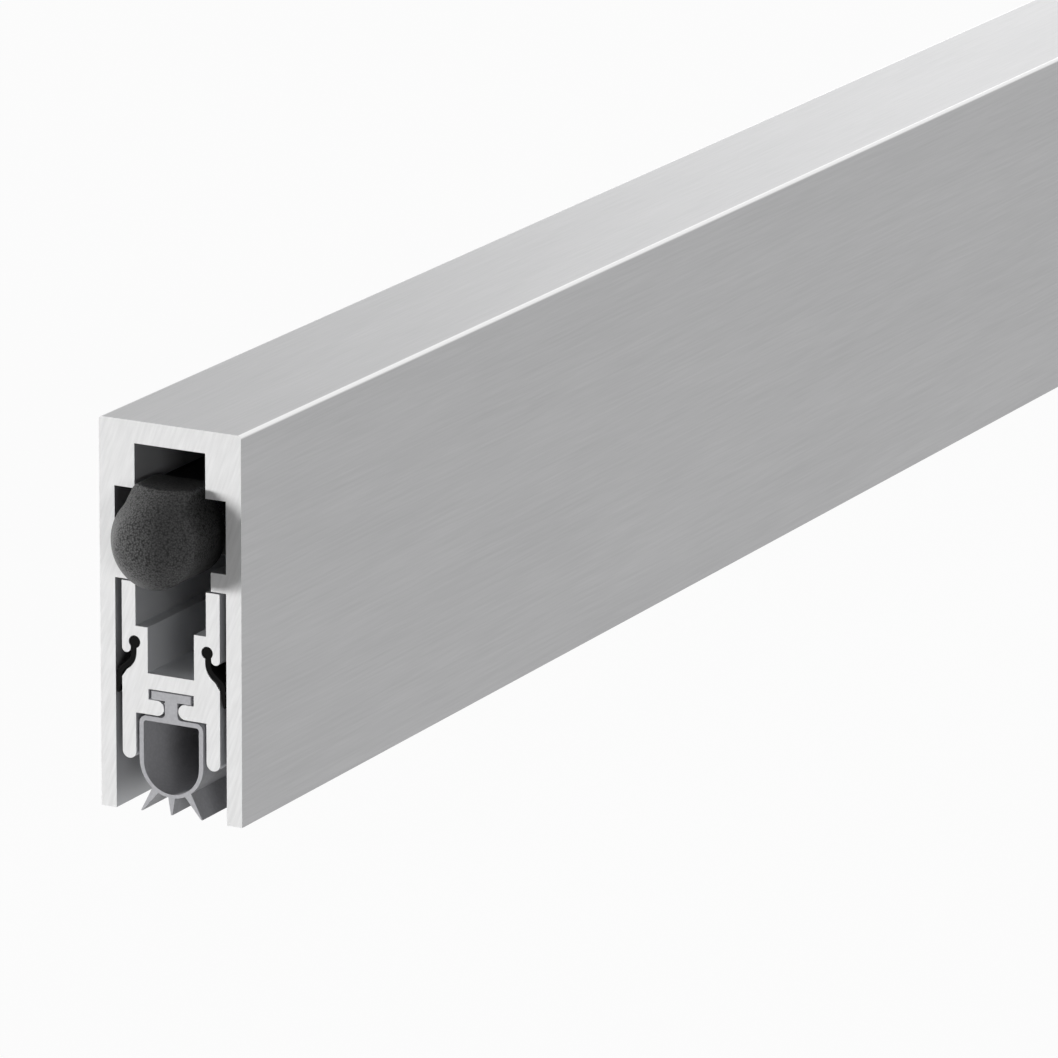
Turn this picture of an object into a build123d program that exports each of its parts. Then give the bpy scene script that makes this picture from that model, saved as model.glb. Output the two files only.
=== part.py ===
from build123d import *
import math
import os

# Automatic door bottom seal: an aluminium housing let into the bottom of a door, with a carrier
# and a silicone seal that drop out of it when the plunger nose at the lead end is pushed in.
# All sizes are millimetres. While the pieces are drawn, lengthwise places are measured from the
# housing's lead end and heights from its bottom edges. in_frame then moves each piece so that
# the origin is at the centre of the housing's top face, with +Y away from the nose and +Z up.

# Housing: outer extruded profile
HOUSING_WIDTH = 14.0
HOUSING_HEIGHT = 35.0
HOUSING_LENGTH = 335.0
WALL = 1.5
ROOF = 2.0
ROD_SLOT_WIDTH = 7.0
ROD_SLOT_DEPTH = 4.0
TRACK_HEIGHT = 6.5
LEDGE_THICKNESS = 1.7
LEDGE_REACH = 1.5
TOP_EDGE_ROUND = 0.25

# Carrier: inner extruded profile that drops
CARRIER_SIDE_GAP = 0.65
CARRIER_TOP_GAP = 0.15
ARM_THICKNESS = 1.35
ARM_HEIGHT = 3.95
CHANNEL_WIDTH = 4.6
CHANNEL_DEPTH = 4.1
WEB_THICKNESS = 1.4
SEAL_SLOT_WIDTH = 4.5
SEAL_SLOT_HEIGHT = 0.95
SEAL_MOUTH = 1.44
MOUTH_LIP_THICKNESS = 1.35
LEG_THICKNESS = 1.35
LEG_LENGTH = 4.2

# Side grooves of the carrier, which hold the lip seals
GROOVE_RADIUS = 0.57
GROOVE_INSET = 1.25
GROOVE_DROP = 1.45
GROOVE_NECK = 0.6
GROOVE_NECK_OFFSET = 0.1
HOOK_DROP = 0.6
SCOOP_RADIUS = 1.9
SCOOP_TURN = 60.0
SCOOP_INSET = 0.2
SCOOP_DROP = 0.3
SCOOP_DEPTH = 3.25

# Lip seals
LIP_FIT = 0.07
LIP_WALL_GAP = 0.14
LIP_THICKNESS = 0.48
LIP_TIP = 0.15
LIP_NECK_DROP = 1.05
LIP_BEND_DROP = 1.95
LIP_BEND_SWEEP = 0.85
LIP_BEND_LAG = 0.2
LIP_REACH_DOWN = 4.75

# Bottom seal: silicone bulb with fins
HEAD_GAP = 0.12
HEAD_REST_GAP = 0.06
HEAD_SIDE_GAP = 0.3
STEM_GAP = 0.1
BULB_WIDTH = 6.34
BULB_WALL = 0.42
BULB_FLOOR_WALL = 0.3
BULB_TOP_GAP = 0.15
BULB_CORNER = 0.7
STEM_FLARE = 0.4
SEAL_FLOOR_GAP = 0.1
FIN_HEIGHT = 1.55
FIN_SPREAD = 3.0
FIN_ROOT_ANGLE = 31.0
FIN_ROOT_THICKNESS = 0.74
FIN_TIP = 0.15

# Movement of the works
PLUNGER_TRAVEL = 6.0
CARRIER_DROP = 10.0

# Plunger nose: a keyhole-shaped bar with a domed front
NOSE_PROTRUSION = 6.2
NOSE_SEAT = 2.4
LOBE_RADIUS = 4.15
LOBE_RISE = 2.85
TONGUE_WIDTH = 5.8
TONGUE_RISE = 4.5
DOME_RADIUS = 3.7
DOME_TURN = 55.0
DOME_DROP = 0.25

# Stud, nut and plunger body behind the nose
STUD_RADIUS = 1.5
STUD_IN_NOSE = 5.0
STUD_IN_BODY = 17.0
NUT_ACROSS_FLATS = 5.5
NUT_THICKNESS = 2.4
PLUNGER_BODY_LENGTH = 31.0
ROD_STOP_AHEAD = 11.0
ROD_STOP_LENGTH = 4.0

# Slide blocks and push rod
SLIDE_GAP = 0.2
ROD_SIDE_GAP = 0.3
ROD_THICKNESS = 2.0
FRONT_PIVOT = 62.0
REAR_PIVOT = 237.0
BLOCK_AHEAD = 8.0
BLOCK_BEHIND = 24.0
RIVET_RADIUS = 1.0
RIVET_HEAD_RADIUS = 1.9
RIVET_HEAD_HEIGHT = 0.8
RIVET_DEPTH = 3.5
PLUNGER_RIVET_EDGE = 8.0

# Links and pins
PIVOT_ABOVE_LEDGE = 3.3
FOOT_PIN_ABOVE_FLOOR = 2.2
LINK_THICKNESS = 2.0
LINK_SIDE_GAP = 0.1
LINK_END_RADIUS = 1.9
LINK_END_GAP = 0.4
PIN_RADIUS = 0.9
PIN_CLEARANCE = 0.05
PIN_END_INSET = 0.3

# Feet on the carrier
FOOT_SIDE_GAP = 0.1
FOOT_BASE = 1.2
FOOT_AHEAD = 6.6
FOOT_BEHIND = 8.4
FOOT_WINDOW_AHEAD = 4.6
SCREW_RADIUS = 1.0
SCREW_HEAD_RADIUS = 1.7
SCREW_HEAD_HEIGHT = 0.9
SCREW_EDGE = 2.4

# Anchor block, guide pin and spring
ANCHOR_PLACE = 175.0
ANCHOR_LENGTH = 50.0
ANCHOR_SIDE_GAP = 0.05
ANCHOR_ROD_GAP = 0.3
ANCHOR_BOSS_LENGTH = 12.0
ANCHOR_BOSS_DEPTH = 5.3
ANCHOR_BOSS_GAP = 0.3
ANCHOR_SCREW_RADIUS = 1.5
ANCHOR_SCREW_GAP = 0.5
ANCHOR_SCREW_LENGTH = 8.0
GUIDE_PIN_RADIUS = 1.5
GUIDE_PIN_CLEARANCE = 0.05
GUIDE_PIN_TOP_GAP = 0.6
GUIDE_FOOT_AHEAD = 5.0
GUIDE_FOOT_BEHIND = 10.0
GUIDE_FOOT_HEIGHT = 3.9
GUIDE_FOOT_BOSS_RADIUS = 2.2
SPRING_RADIUS = 2.75
SPRING_WIRE = 0.7
SPRING_GUIDE_RADIUS = 1.4
SPRING_GUIDE_SEAT = 8.0
SPRING_GUIDE_END_GAP = 0.6

# Half widths and heights that follow from the sizes above
HOUSING_HALF = HOUSING_WIDTH / 2
INNER_HALF = HOUSING_HALF - WALL
LEDGE_HALF = INNER_HALF - LEDGE_REACH
SLOT_HALF = ROD_SLOT_WIDTH / 2
SLOT_TOP = HOUSING_HEIGHT - ROOF
TRACK_TOP = SLOT_TOP - ROD_SLOT_DEPTH
LEDGE_TOP = TRACK_TOP - TRACK_HEIGHT
LEDGE_UNDERSIDE = LEDGE_TOP - LEDGE_THICKNESS

CARRIER_HALF = INNER_HALF - CARRIER_SIDE_GAP
ARM_INNER_HALF = CARRIER_HALF - ARM_THICKNESS
ARM_TOP = LEDGE_UNDERSIDE - CARRIER_TOP_GAP
CHANNEL_TOP = ARM_TOP - ARM_HEIGHT
CHANNEL_FLOOR = CHANNEL_TOP - CHANNEL_DEPTH
SEAL_SLOT_TOP = CHANNEL_FLOOR - WEB_THICKNESS
MOUTH_LIP_TOP = SEAL_SLOT_TOP - SEAL_SLOT_HEIGHT
MOUTH_LIP_UNDERSIDE = MOUTH_LIP_TOP - MOUTH_LIP_THICKNESS
LEG_BOTTOM = MOUTH_LIP_UNDERSIDE - LEG_LENGTH
GROOVE_X = CARRIER_HALF - GROOVE_INSET
GROOVE_Z = CHANNEL_TOP - GROOVE_DROP

BLOCK_HALF = INNER_HALF - SLIDE_GAP
BLOCK_BOTTOM = LEDGE_TOP + SLIDE_GAP
BLOCK_TOP = TRACK_TOP - SLIDE_GAP
ROD_HALF = SLOT_HALF - ROD_SIDE_GAP
ROD_TOP = BLOCK_TOP + ROD_THICKNESS
LOBE_Z = LEDGE_TOP + LOBE_RISE
BODY_START = NOSE_SEAT + NUT_THICKNESS
ROD_STOP_START = BODY_START + ROD_STOP_AHEAD
ROD_START = ROD_STOP_START + ROD_STOP_LENGTH
ROD_END = REAR_PIVOT + BLOCK_BEHIND

# Linkage: the links' reach is set so that they fit exactly at both ends of the travel.
PIVOT_Z = LEDGE_TOP + PIVOT_ABOVE_LEDGE
FOOT_PIN_Z = CHANNEL_FLOOR + FOOT_PIN_ABOVE_FLOOR
LINK_RISE = PIVOT_Z - FOOT_PIN_Z
LINK_REACH = (CARRIER_DROP * (2 * LINK_RISE + CARRIER_DROP) + PLUNGER_TRAVEL**2) / (2 * PLUNGER_TRAVEL)
LINK_LENGTH = math.hypot(LINK_REACH, LINK_RISE)
LINK_MID_LENGTH = math.hypot(LINK_REACH - PLUNGER_TRAVEL / 2, LINK_RISE + CARRIER_DROP / 2)
LINK_ANGLE = math.degrees(math.atan2(LINK_RISE, LINK_REACH))
FEET = {"front": FRONT_PIVOT + LINK_REACH, "rear": REAR_PIVOT + LINK_REACH}
PIVOTS = {"front": FRONT_PIVOT, "rear": REAR_PIVOT}

ANCHOR_START = ANCHOR_PLACE - ANCHOR_LENGTH / 2
ANCHOR_TOP = BLOCK_TOP - ANCHOR_ROD_GAP
ANCHOR_SCREW_INSET = SPRING_GUIDE_SEAT + ANCHOR_SCREW_GAP + ANCHOR_SCREW_RADIUS
ANCHOR_SCREWS = [ANCHOR_START + ANCHOR_SCREW_INSET, ANCHOR_START + ANCHOR_LENGTH - ANCHOR_SCREW_INSET]
SPRING_Z = (BLOCK_BOTTOM + BLOCK_TOP) / 2


def in_frame(shape):
    """Move a piece from the drawing places to the part's own frame."""
    return Pos(0, -HOUSING_LENGTH / 2, -HOUSING_HEIGHT) * shape


def band(half_width, low, high):
    """Upright rectangle across the seal, centred on the middle plane."""
    return Pos(0, (low + high) / 2) * Rectangle(2 * half_width, high - low)


def strip(left, right, low, high):
    """Upright rectangle across the seal between two sides and two heights."""
    return Pos((left + right) / 2, (low + high) / 2) * Rectangle(right - left, high - low)


def lengthwise(section, start, length):
    """Run a section, drawn across the seal, along it from start."""
    return Pos(0, start, 0) * extrude(Plane.XZ * section, amount=-length)


def plate(outline, thickness):
    """Flat plate that stands lengthwise on the middle plane."""
    return extrude(Plane.YZ * outline, amount=thickness / 2, both=True)


def cross_pin(place, height, radius, length):
    """Round bar or hole across the seal."""
    return plate(Pos(place, height) * Circle(radius), length)


def upright(place, radius, low, high):
    """Upright round bar or hole on the middle plane."""
    return extrude(Pos(0, place, low) * Circle(radius), amount=high - low)


def both_sides(right_half):
    """A sketch with its mirror image about the middle plane."""
    return right_half + mirror(right_half, about=Plane.YZ)


def housing_profile():
    """Outer channel: rod slot at the top, T track, two ledges and an open bottom."""
    outer = band(HOUSING_HALF, 0, HOUSING_HEIGHT)
    outer = fillet(outer.vertices().group_by(Axis.Y)[-1], radius=TOP_EDGE_ROUND)
    hollow = band(SLOT_HALF, TRACK_TOP, SLOT_TOP)
    hollow += band(INNER_HALF, LEDGE_TOP, TRACK_TOP)
    hollow += band(LEDGE_HALF, LEDGE_UNDERSIDE, LEDGE_TOP)
    hollow += band(INNER_HALF, 0, LEDGE_UNDERSIDE)
    return lengthwise(outer - hollow, 0, HOUSING_LENGTH)


def groove_cut():
    """Right-hand side groove: a round seat, its neck and the scoop that the lip swings in."""
    neck_left = GROOVE_X - GROOVE_NECK / 2 + GROOVE_NECK_OFFSET
    neck_right = neck_left + GROOVE_NECK
    hook_radius = (CARRIER_HALF - neck_right) / 2
    hook_z = GROOVE_Z - HOOK_DROP
    scoop_bottom = GROOVE_Z - SCOOP_DEPTH
    outside = CARRIER_HALF + SCOOP_RADIUS
    scoop = [scoop_point(hook_z, turn) for turn in (0, SCOOP_TURN / 2, SCOOP_TURN)]
    edge = ThreePointArc(*scoop) + Polyline(
        scoop[-1],
        (CARRIER_HALF, scoop_bottom),
        (outside, scoop_bottom),
        (outside, hook_z),
        (neck_right, hook_z),
        (neck_right, GROOVE_Z),
        (neck_left, GROOVE_Z),
        (neck_left, hook_z),
        scoop[0],
    )
    cut = make_face(edge) + Pos(GROOVE_X, GROOVE_Z) * Circle(GROOVE_RADIUS)
    return cut - Pos(neck_right + hook_radius, hook_z) * Circle(hook_radius)


def scoop_point(hook_z, turn):
    """Point on the scoop's round back, a turn in degrees down from its top."""
    angle = math.radians(turn)
    back = GROOVE_X - SCOOP_INSET
    x = back + SCOOP_RADIUS * (1 - math.cos(angle))
    return (x, hook_z - SCOOP_DROP - SCOOP_RADIUS * math.sin(angle))


def carrier_section():
    """Carrier across: two arms, a channel, the seal's T slot, two legs and two side grooves."""
    section = band(CARRIER_HALF, LEG_BOTTOM, ARM_TOP)
    section -= band(ARM_INNER_HALF, CHANNEL_TOP, ARM_TOP)
    section -= band(CHANNEL_WIDTH / 2, CHANNEL_FLOOR, CHANNEL_TOP)
    section -= band(SEAL_SLOT_WIDTH / 2, MOUTH_LIP_TOP, SEAL_SLOT_TOP)
    section -= band(CARRIER_HALF - LEG_THICKNESS, LEG_BOTTOM, MOUTH_LIP_UNDERSIDE)
    section -= both_sides(groove_cut())
    lip_radius = MOUTH_LIP_THICKNESS / 2
    mouth = band(SEAL_MOUTH / 2 + lip_radius, MOUTH_LIP_UNDERSIDE, MOUTH_LIP_TOP)
    lip_end = Pos(SEAL_MOUTH / 2 + lip_radius, MOUTH_LIP_UNDERSIDE + lip_radius) * Circle(lip_radius)
    section -= mouth - both_sides(lip_end)
    leg_radius = LEG_THICKNESS / 2
    leg_x = CARRIER_HALF - leg_radius
    corner = strip(leg_x - leg_radius, leg_x + leg_radius, LEG_BOTTOM, LEG_BOTTOM + leg_radius)
    corner -= Pos(leg_x, LEG_BOTTOM + leg_radius) * Circle(leg_radius)
    return section - both_sides(corner)


def foot_screw_place(foot):
    """Lengthwise place of the screw that holds a link's foot."""
    return foot + FOOT_BEHIND - SCREW_EDGE


def guide_screw_place():
    """Lengthwise place of the screw that holds the guide pin's foot."""
    return ANCHOR_PLACE + GUIDE_FOOT_BEHIND - SCREW_EDGE


def screw_places():
    """Lengthwise places of all the small screws in the carrier's web."""
    return [foot_screw_place(foot) for foot in FEET.values()] + [guide_screw_place()]


def carrier_profile():
    """Carrier along the whole housing, with tapped holes in its web for the feet's screws."""
    carrier = lengthwise(carrier_section(), 0, HOUSING_LENGTH)
    holes = [upright(y, SCREW_RADIUS, SEAL_SLOT_TOP, CHANNEL_FLOOR) for y in screw_places()]
    return carrier - holes


def lip_side(neck_x, wall_x, tip_x, lag):
    """One side of the lip's blade: down the neck, across in a bend and down the wall to the tip."""
    neck_z = GROOVE_Z - LIP_NECK_DROP - lag
    wall_z = neck_z - LIP_BEND_DROP
    neck = (neck_x, neck_z)
    wall = (wall_x, wall_z)
    bend = Bezier(neck, (neck_x, neck_z - LIP_BEND_SWEEP), (wall_x, wall_z + LIP_BEND_SWEEP), wall)
    return Line((neck_x, GROOVE_Z), neck) + bend + Line(wall, (tip_x, GROOVE_Z - LIP_REACH_DOWN))


def lip_section():
    """Right-hand lip seal: a round bead in the groove and a blade that sweeps down to the wall."""
    neck_x = GROOVE_X + GROOVE_NECK_OFFSET
    wall_x = INNER_HALF - LIP_WALL_GAP
    half = LIP_THICKNESS / 2
    tip_z = GROOVE_Z - LIP_REACH_DOWN
    outer = lip_side(neck_x + half, wall_x, wall_x, 0)
    inner = lip_side(neck_x - half, wall_x - LIP_THICKNESS, wall_x - LIP_TIP, LIP_BEND_LAG)
    top = Line((neck_x - half, GROOVE_Z), (neck_x + half, GROOVE_Z))
    blade = make_face(outer + inner + top + Line((wall_x - LIP_TIP, tip_z), (wall_x, tip_z)))
    return blade + Pos(GROOVE_X, GROOVE_Z) * Circle(GROOVE_RADIUS - LIP_FIT)


def lip_seal_right():
    """Lip seal on the +X side."""
    return lengthwise(lip_section(), 0, HOUSING_LENGTH)


def bulb_shape(half_width, top, centre_z, corner):
    """Flat-topped shape with a round bottom, for the bulb's outside and inside."""
    upper = band(half_width, centre_z, top)
    radius = min(corner, (top - centre_z) / 2)
    upper = fillet(upper.vertices().group_by(Axis.Y)[-1], radius=radius)
    lower = Pos(0, centre_z) * Circle(half_width) & band(half_width, centre_z - half_width, top)
    return upper + lower


def fin(root_angle, tip_x, bulb_centre):
    """One tapered fin from the bulb's wall down to the floor line."""
    root_radius = (BULB_WIDTH - BULB_WALL) / 2
    half_turn = math.asin(FIN_ROOT_THICKNESS / 2 / root_radius)
    points = []
    for turn in (-half_turn, half_turn):
        angle = math.radians(root_angle) + turn
        points.append((root_radius * math.sin(angle), bulb_centre - root_radius * math.cos(angle)))
    points += [(tip_x + FIN_TIP / 2, SEAL_FLOOR_GAP), (tip_x - FIN_TIP / 2, SEAL_FLOOR_GAP)]
    return make_face(Polyline(*points, close=True))


def stem_flare(stem_half, bulb_top):
    """Right-hand round between the seal's stem and the flat top of its bulb."""
    corner = strip(stem_half, stem_half + STEM_FLARE, bulb_top, bulb_top + STEM_FLARE)
    return corner - Pos(stem_half + STEM_FLARE, bulb_top + STEM_FLARE) * Circle(STEM_FLARE)


def bottom_seal():
    """Silicone seal: T head in the carrier's slot, stem, hollow bulb and three fins."""
    bulb_half = BULB_WIDTH / 2
    bulb_centre = SEAL_FLOOR_GAP + FIN_HEIGHT + bulb_half
    bulb_top = MOUTH_LIP_UNDERSIDE - BULB_TOP_GAP
    head_low = MOUTH_LIP_TOP + HEAD_REST_GAP
    head_high = SEAL_SLOT_TOP - HEAD_GAP
    stem_half = SEAL_MOUTH / 2 - STEM_GAP
    section = band(SEAL_SLOT_WIDTH / 2 - HEAD_SIDE_GAP, head_low, head_high)
    section += band(stem_half, bulb_top - BULB_WALL / 2, head_low)
    section += both_sides(stem_flare(stem_half, bulb_top))
    section += bulb_shape(bulb_half, bulb_top, bulb_centre, BULB_CORNER)
    for side in (-1, 0, 1):
        section += fin(side * FIN_ROOT_ANGLE, side * FIN_SPREAD, bulb_centre)
    inner_half = bulb_half - BULB_WALL
    inner_centre = bulb_centre - BULB_WALL + BULB_FLOOR_WALL
    section -= bulb_shape(inner_half, bulb_top - BULB_WALL, inner_centre, BULB_CORNER - BULB_WALL)
    return lengthwise(section, 0, HOUSING_LENGTH)


def nose_dome():
    """Ball-nosed cone, which rounds the front of the keyhole-shaped bar."""
    turn = math.radians(DOME_TURN)
    reach = LOBE_RADIUS + TONGUE_RISE
    middle = (DOME_RADIUS * math.sin(turn / 2), DOME_RADIUS * (1 - math.cos(turn / 2)))
    meet = (DOME_RADIUS * math.sin(turn), DOME_RADIUS * (1 - math.cos(turn)))
    rim = meet[1] + (reach - meet[0]) * math.tan(turn)
    end = rim + NOSE_SEAT
    back = Polyline(meet, (reach, rim), (reach, end), (0, end), (0, 0))
    blank = revolve(make_face(ThreePointArc((0, 0), middle, meet) + back), axis=Axis.Y)
    return Pos(0, -NOSE_PROTRUSION, LOBE_Z - DOME_DROP) * blank


def plunger_nose():
    """Keyhole-shaped nose: a round lobe, a tongue that runs in the rod slot and one domed front."""
    section = Pos(0, LOBE_Z) * Circle(LOBE_RADIUS)
    section += band(TONGUE_WIDTH / 2, LOBE_Z, LOBE_Z + TONGUE_RISE)
    bar = lengthwise(section, -NOSE_PROTRUSION, NOSE_PROTRUSION + NOSE_SEAT)
    bore = lengthwise(Pos(0, LOBE_Z) * Circle(STUD_RADIUS), NOSE_SEAT - STUD_IN_NOSE, STUD_IN_NOSE)
    return (bar & nose_dome()) - bore


def adjusting_stud():
    """Stud that joins the nose to the plunger body."""
    start = NOSE_SEAT - STUD_IN_NOSE
    return lengthwise(Pos(0, LOBE_Z) * Circle(STUD_RADIUS), start, BODY_START + STUD_IN_BODY - start)


def lock_nut():
    """Hexagon nut between the nose and the plunger body."""
    hexagon = RegularPolygon(radius=NUT_ACROSS_FLATS / 2, side_count=6, major_radius=False)
    section = Pos(0, LOBE_Z) * (hexagon - Circle(STUD_RADIUS))
    return lengthwise(section, NOSE_SEAT, NUT_THICKNESS)


def plunger_rivet():
    """Lengthwise place of the rivet that holds the rod on the plunger body."""
    return ROD_START + PLUNGER_RIVET_EDGE


def plunger_body():
    """Slide behind the nose, with the stud's bore, a stop for the rod and a rivet hole."""
    body = lengthwise(band(BLOCK_HALF, BLOCK_BOTTOM, BLOCK_TOP), BODY_START, PLUNGER_BODY_LENGTH)
    body += lengthwise(band(ROD_HALF, BLOCK_TOP, ROD_TOP), ROD_STOP_START, ROD_STOP_LENGTH)
    body -= lengthwise(Pos(0, LOBE_Z) * Circle(STUD_RADIUS), BODY_START, STUD_IN_BODY)
    return body - rivet_hole(plunger_rivet())


def rivet_hole(place):
    """Hole for a rivet's shank, from the rod's top down into the block."""
    return upright(place, RIVET_RADIUS, ROD_TOP - RIVET_DEPTH, ROD_TOP)


def rivet(place):
    """Rivet with a flat head on the rod."""
    return rivet_hole(place) + upright(place, RIVET_HEAD_RADIUS, ROD_TOP, ROD_TOP + RIVET_HEAD_HEIGHT)


def link_slot_length():
    """How far behind the pivot the link's upper edge leaves the block's underside."""
    slope = math.radians(LINK_ANGLE)
    above = PIVOT_Z + LINK_END_RADIUS / math.cos(slope) - BLOCK_BOTTOM
    return above / math.tan(slope) + LINK_END_GAP


def block_rivet(pivot):
    """Lengthwise place of a slide block's rivet, in the solid end behind the link's slot."""
    return pivot + (BLOCK_BEHIND + link_slot_length()) / 2


def slide_block(pivot):
    """Block in the track, slotted from below for the link, with the pivot pin's bore."""
    section = band(BLOCK_HALF, BLOCK_BOTTOM, BLOCK_TOP)
    block = lengthwise(section, pivot - BLOCK_AHEAD, BLOCK_AHEAD + BLOCK_BEHIND)
    slot_start = pivot - LINK_END_RADIUS - LINK_END_GAP
    slot_top = PIVOT_Z + LINK_END_RADIUS + LINK_END_GAP
    slot_half = LINK_THICKNESS / 2 + LINK_SIDE_GAP
    slot = band(slot_half, BLOCK_BOTTOM, slot_top)
    block -= lengthwise(slot, slot_start, pivot + link_slot_length() - slot_start)
    block -= cross_pin(pivot, PIVOT_Z, PIN_RADIUS, 2 * BLOCK_HALF)
    return block - rivet_hole(block_rivet(pivot))


def pivot_pin(pivot):
    """Upper pivot pin, pressed into the slide block."""
    return cross_pin(pivot, PIVOT_Z, PIN_RADIUS, 2 * (BLOCK_HALF - PIN_END_INSET))


def rivet_places():
    """Lengthwise places of all the rivets in the push rod."""
    return [plunger_rivet(), block_rivet(FRONT_PIVOT), block_rivet(REAR_PIVOT)]


def rod_rivets():
    """All rivets on the push rod, as separate solids."""
    return Part() + [rivet(y) for y in rivet_places()]


def rod_hole(place, radius):
    """Long hole in the push rod that passes an upright bar over the whole travel."""
    hole = SlotCenterToCenter(PLUNGER_TRAVEL, 2 * (radius + ANCHOR_ROD_GAP), rotation=90)
    return extrude(Pos(0, place - PLUNGER_TRAVEL / 2, BLOCK_TOP) * hole, amount=ROD_THICKNESS)


def push_rod():
    """Flat bar in the rod slot, with long holes that pass the guide pin and the anchor screws."""
    rod = lengthwise(band(ROD_HALF, BLOCK_TOP, ROD_TOP), ROD_START, ROD_END - ROD_START)
    rod -= rod_hole(ANCHOR_PLACE, GUIDE_PIN_RADIUS)
    rod -= [rod_hole(y, ANCHOR_SCREW_RADIUS) for y in ANCHOR_SCREWS]
    return rod - [upright(y, RIVET_RADIUS, BLOCK_TOP, ROD_TOP) for y in rivet_places()]


def link(pivot):
    """Folding link: round bore at the pivot, short slot at the foot pin."""
    play = LINK_LENGTH - LINK_MID_LENGTH
    centre = LINK_LENGTH - play / 2
    bore = PIN_RADIUS + PIN_CLEARANCE
    outline = Pos(centre / 2, 0) * SlotCenterToCenter(centre, 2 * LINK_END_RADIUS)
    outline -= Circle(bore)
    outline -= Pos(centre, 0) * SlotCenterToCenter(play + 2 * PIN_CLEARANCE, 2 * (bore + PIN_CLEARANCE))
    return plate(Pos(pivot, PIVOT_Z) * Rot(0, 0, -LINK_ANGLE) * outline, LINK_THICKNESS)


def screw_hole(place):
    """Hole through a foot's base for its screw."""
    return upright(place, SCREW_RADIUS, CHANNEL_FLOOR, CHANNEL_FLOOR + FOOT_BASE)


def foot_screw(place):
    """Flat-headed screw through a foot's base into the carrier's web."""
    base_top = CHANNEL_FLOOR + FOOT_BASE
    shank = upright(place, SCREW_RADIUS, SEAL_SLOT_TOP, base_top)
    return shank + upright(place, SCREW_HEAD_RADIUS, base_top, base_top + SCREW_HEAD_HEIGHT)


def foot_screws():
    """All screws that hold the feet, as separate solids."""
    return Part() + [foot_screw(y) for y in screw_places()]


def foot(place):
    """Bracket on the channel's floor: a base with a window and two ears for the link's end."""
    half_width = CHANNEL_WIDTH / 2 - FOOT_SIDE_GAP
    section = band(half_width, CHANNEL_FLOOR, CHANNEL_FLOOR + FOOT_BASE)
    base = lengthwise(section, place - FOOT_AHEAD, FOOT_AHEAD + FOOT_BEHIND)
    stem = Rectangle(2 * LINK_END_RADIUS, FOOT_PIN_ABOVE_FLOOR)
    ear = Pos(place, FOOT_PIN_Z) * Circle(LINK_END_RADIUS)
    ear += Pos(place, (CHANNEL_FLOOR + FOOT_PIN_Z) / 2) * stem
    bracket = base + plate(ear, 2 * half_width)
    window_half = LINK_THICKNESS / 2 + LINK_SIDE_GAP
    window_end = place + LINK_END_RADIUS + LINK_END_GAP
    window = band(window_half, CHANNEL_FLOOR, FOOT_PIN_Z + LINK_END_RADIUS)
    bracket -= lengthwise(window, place - FOOT_WINDOW_AHEAD, window_end - place + FOOT_WINDOW_AHEAD)
    bracket -= cross_pin(place, FOOT_PIN_Z, PIN_RADIUS, 2 * half_width)
    return bracket - screw_hole(foot_screw_place(place))


def foot_pin(place):
    """Lower pivot pin, pressed into the foot's ears."""
    return cross_pin(place, FOOT_PIN_Z, PIN_RADIUS, CHANNEL_WIDTH - 2 * FOOT_SIDE_GAP)


def guide_foot():
    """Base on the channel's floor with a boss for the guide pin."""
    half_width = CHANNEL_WIDTH / 2 - FOOT_SIDE_GAP
    section = band(half_width, CHANNEL_FLOOR, CHANNEL_FLOOR + FOOT_BASE)
    base = lengthwise(section, ANCHOR_PLACE - GUIDE_FOOT_AHEAD, GUIDE_FOOT_AHEAD + GUIDE_FOOT_BEHIND)
    boss_top = CHANNEL_FLOOR + GUIDE_FOOT_HEIGHT
    piece = base + upright(ANCHOR_PLACE, GUIDE_FOOT_BOSS_RADIUS, CHANNEL_FLOOR, boss_top)
    piece -= upright(ANCHOR_PLACE, GUIDE_PIN_RADIUS, CHANNEL_FLOOR, boss_top)
    return piece - screw_hole(guide_screw_place())


def guide_pin():
    """Upright pin on the carrier that slides in the anchor block's bore."""
    return upright(ANCHOR_PLACE, GUIDE_PIN_RADIUS, CHANNEL_FLOOR, SLOT_TOP - GUIDE_PIN_TOP_GAP)


def anchor_block():
    """Fixed block in the track, with a boss that reaches down between the carrier's arms."""
    section = band(INNER_HALF - ANCHOR_SIDE_GAP, LEDGE_TOP, ANCHOR_TOP)
    block = lengthwise(section, ANCHOR_START, ANCHOR_LENGTH)
    boss_half = ARM_INNER_HALF - ANCHOR_BOSS_GAP
    boss = band(boss_half, LEDGE_TOP - ANCHOR_BOSS_DEPTH, LEDGE_TOP)
    block += lengthwise(boss, ANCHOR_PLACE - ANCHOR_BOSS_LENGTH / 2, ANCHOR_BOSS_LENGTH)
    bore_radius = GUIDE_PIN_RADIUS + GUIDE_PIN_CLEARANCE
    block -= upright(ANCHOR_PLACE, bore_radius, LEDGE_TOP - ANCHOR_BOSS_DEPTH, ANCHOR_TOP)
    block -= lengthwise(Pos(0, SPRING_Z) * Circle(SPRING_GUIDE_RADIUS), ANCHOR_START, SPRING_GUIDE_SEAT)
    return block - [upright(y, ANCHOR_SCREW_RADIUS, LEDGE_TOP, ANCHOR_TOP) for y in ANCHOR_SCREWS]


def anchor_screws():
    """Two grub screws that bear on the slot's roof and press the block onto the ledges."""
    low = SLOT_TOP - ANCHOR_SCREW_LENGTH
    return Part() + [upright(y, ANCHOR_SCREW_RADIUS, low, SLOT_TOP) for y in ANCHOR_SCREWS]


def spring_guide():
    """Rod in the anchor block that keeps the return spring straight."""
    start = FRONT_PIVOT + BLOCK_BEHIND + PLUNGER_TRAVEL + SPRING_GUIDE_END_GAP
    end = ANCHOR_START + SPRING_GUIDE_SEAT
    return lengthwise(Pos(0, SPRING_Z) * Circle(SPRING_GUIDE_RADIUS), start, end - start)


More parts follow.
